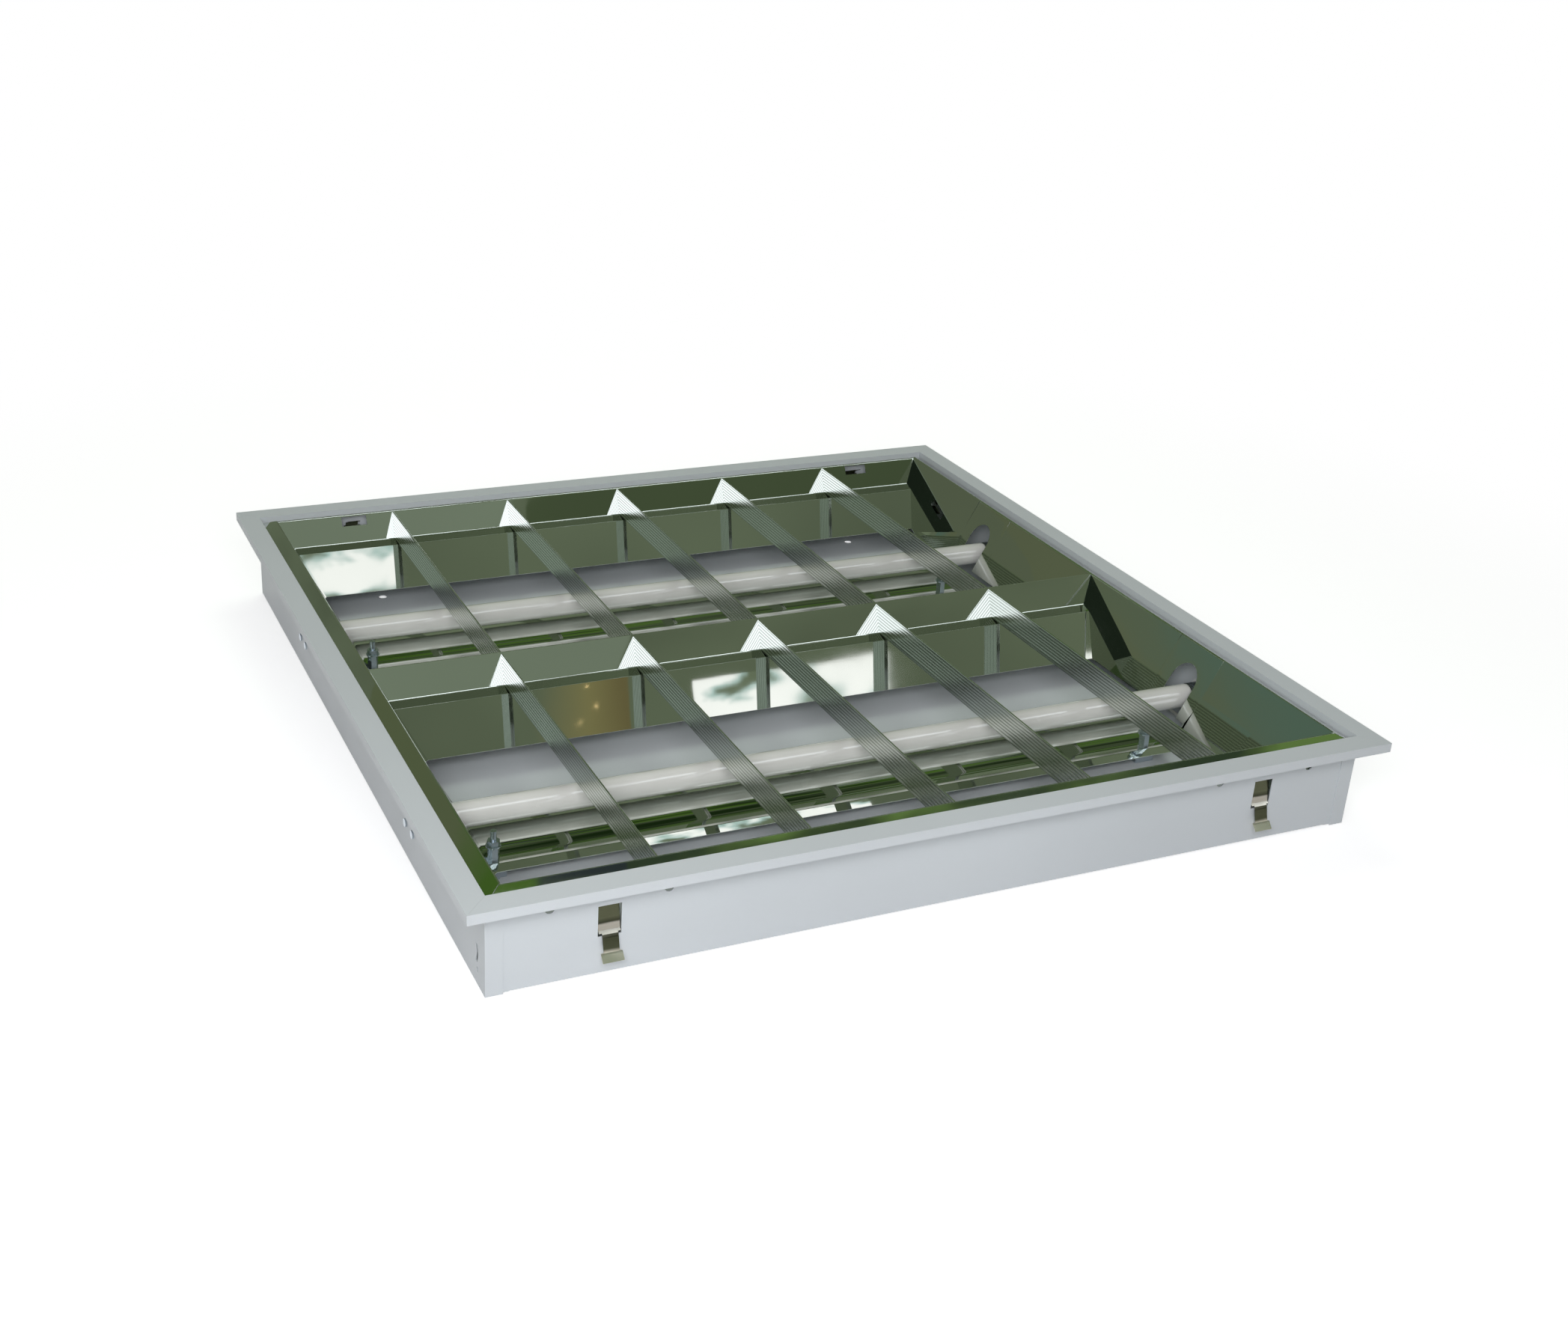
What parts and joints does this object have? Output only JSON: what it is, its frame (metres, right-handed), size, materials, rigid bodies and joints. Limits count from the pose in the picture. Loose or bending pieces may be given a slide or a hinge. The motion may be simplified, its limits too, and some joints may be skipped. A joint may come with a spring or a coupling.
{
  "type": "recessed troffer light",
  "caption": "Square recessed ceiling luminaire: white steel tray with turned-down flange, two tubular lamps in rotary holders, mirror louvre with cross blades that hinges open.",
  "frame": {"origin": "middle of the underside, on the plane of the end plates' bottom folds", "axes": "+X along the lamps, +Y from the latch side to the hinge side of the louvre, +Z out of the louvre, which is down into the room once the luminaire is in the ceiling; the part lies on its back as in the picture"},
  "size_m": [0.595, 0.595, 0.0616],
  "materials": {
    "white_paint": "fine-textured white powder coat",
    "mirror_sheet": "bright anodised mirror sheet",
    "blade_sheet": "semi-specular anodised sheet with fine lengthwise ribs",
    "lamp_glass": "glossy glass, opaque off-white inside coating, unlit",
    "cap_metal": "satin",
    "pin_brass": "polished",
    "rotor_plastic": "satin",
    "holder_plastic": "smooth",
    "clip_nickel": "bright nickel on spring steel",
    "zinc_steel": "bluish zinc",
    "gear_paint": "smooth white",
    "board_green": "varnished",
    "terminal_plastic": "smooth",
    "grommet_rubber": "matt",
    "wire_insulation": "smooth"
  },
  "bodies": {
    "housing": {"housing_tray": "white_paint", "end_plate_left": "white_paint", "end_plate_right": "white_paint", "lamp_reflector_near": "mirror_sheet", "lamp_reflector_far": "mirror_sheet", "lampholder_near_left": "holder_plastic", "lampholder_near_right": "holder_plastic", "lampholder_far_left": "holder_plastic", "lampholder_far_right": "holder_plastic", "reflector_brackets": "zinc_steel", "reflector_studs": "zinc_steel", "standoff_nuts": "zinc_steel", "clamp_nuts": "zinc_steel", "holder_rivets": "zinc_steel", "ballast_base": "zinc_steel", "ballast_lid": "gear_paint", "ballast_board": "board_green", "ballast_screws": "zinc_steel", "terminal_block": "terminal_plastic", "terminal_screws": "zinc_steel", "earth_stud": "zinc_steel", "earth_nut": "pin_brass", "cable_grommet": "grommet_rubber", "lamp_wiring": "wire_insulation", "supply_wiring": "wire_insulation"},
    "louvre": {"side_reflector_near": "mirror_sheet", "side_reflector_far": "mirror_sheet", "ridge_reflector": "mirror_sheet", "end_reflector_left": "mirror_sheet", "end_reflector_right": "mirror_sheet", "cross_blade_near_1": "blade_sheet", "cross_blade_near_2": "blade_sheet", "cross_blade_near_3": "blade_sheet", "cross_blade_near_4": "blade_sheet", "cross_blade_near_5": "blade_sheet", "cross_blade_far_1": "blade_sheet", "cross_blade_far_2": "blade_sheet", "cross_blade_far_3": "blade_sheet", "cross_blade_far_4": "blade_sheet", "cross_blade_far_5": "blade_sheet"},
    "lamp_near": {"lamp_glass_near": "lamp_glass", "lamp_cap_near_left": "cap_metal", "lamp_cap_near_right": "cap_metal", "lamp_pins_near": "pin_brass", "holder_rotor_near_left": "rotor_plastic", "holder_rotor_near_right": "rotor_plastic"},
    "lamp_far": {"lamp_glass_far": "lamp_glass", "lamp_cap_far_left": "cap_metal", "lamp_cap_far_right": "cap_metal", "lamp_pins_far": "pin_brass", "holder_rotor_far_left": "rotor_plastic", "holder_rotor_far_right": "rotor_plastic"},
    "clip_near_left": {"spring_clip_near_left": "clip_nickel"},
    "clip_near_right": {"spring_clip_near_right": "clip_nickel"},
    "clip_far_left": {"spring_clip_far_left": "clip_nickel"},
    "clip_far_right": {"spring_clip_far_right": "clip_nickel"}
  },
  "joints": [
    {"name": "louvre_hinge", "type": "hinge", "parent": "housing", "child": "louvre", "pos_m": [0, 0.2812, 0.0606], "axis": [-1, 0, 0], "range_deg": [0, 90]},
    {"name": "lamp_near_twist", "type": "hinge", "parent": "housing", "child": "lamp_near", "pos_m": [0, -0.1375, 0.0258], "axis": [1, 0, 0], "range_deg": [0, 90]},
    {"name": "lamp_far_twist", "type": "hinge", "parent": "housing", "child": "lamp_far", "pos_m": [0, 0.1375, 0.0258], "axis": [1, 0, 0], "range_deg": [0, 90]},
    {"name": "clip_near_left_flex", "type": "hinge", "parent": "housing", "child": "clip_near_left", "pos_m": [-0.2145, -0.28235, 0.0233], "axis": [1, 0, 0], "range_deg": [0, 5], "stiffness_Nm_per_rad": 1.5},
    {"name": "clip_near_right_flex", "type": "hinge", "parent": "housing", "child": "clip_near_right", "pos_m": [0.2145, -0.28235, 0.0233], "axis": [1, 0, 0], "range_deg": [0, 5], "stiffness_Nm_per_rad": 1.5},
    {"name": "clip_far_left_flex", "type": "hinge", "parent": "housing", "child": "clip_far_left", "pos_m": [-0.2145, 0.28235, 0.0233], "axis": [-1, 0, 0], "range_deg": [0, 5], "stiffness_Nm_per_rad": 1.5},
    {"name": "clip_far_right_flex", "type": "hinge", "parent": "housing", "child": "clip_far_right", "pos_m": [0.2145, 0.28235, 0.0233], "axis": [-1, 0, 0], "range_deg": [0, 5], "stiffness_Nm_per_rad": 1.5}
  ]
}
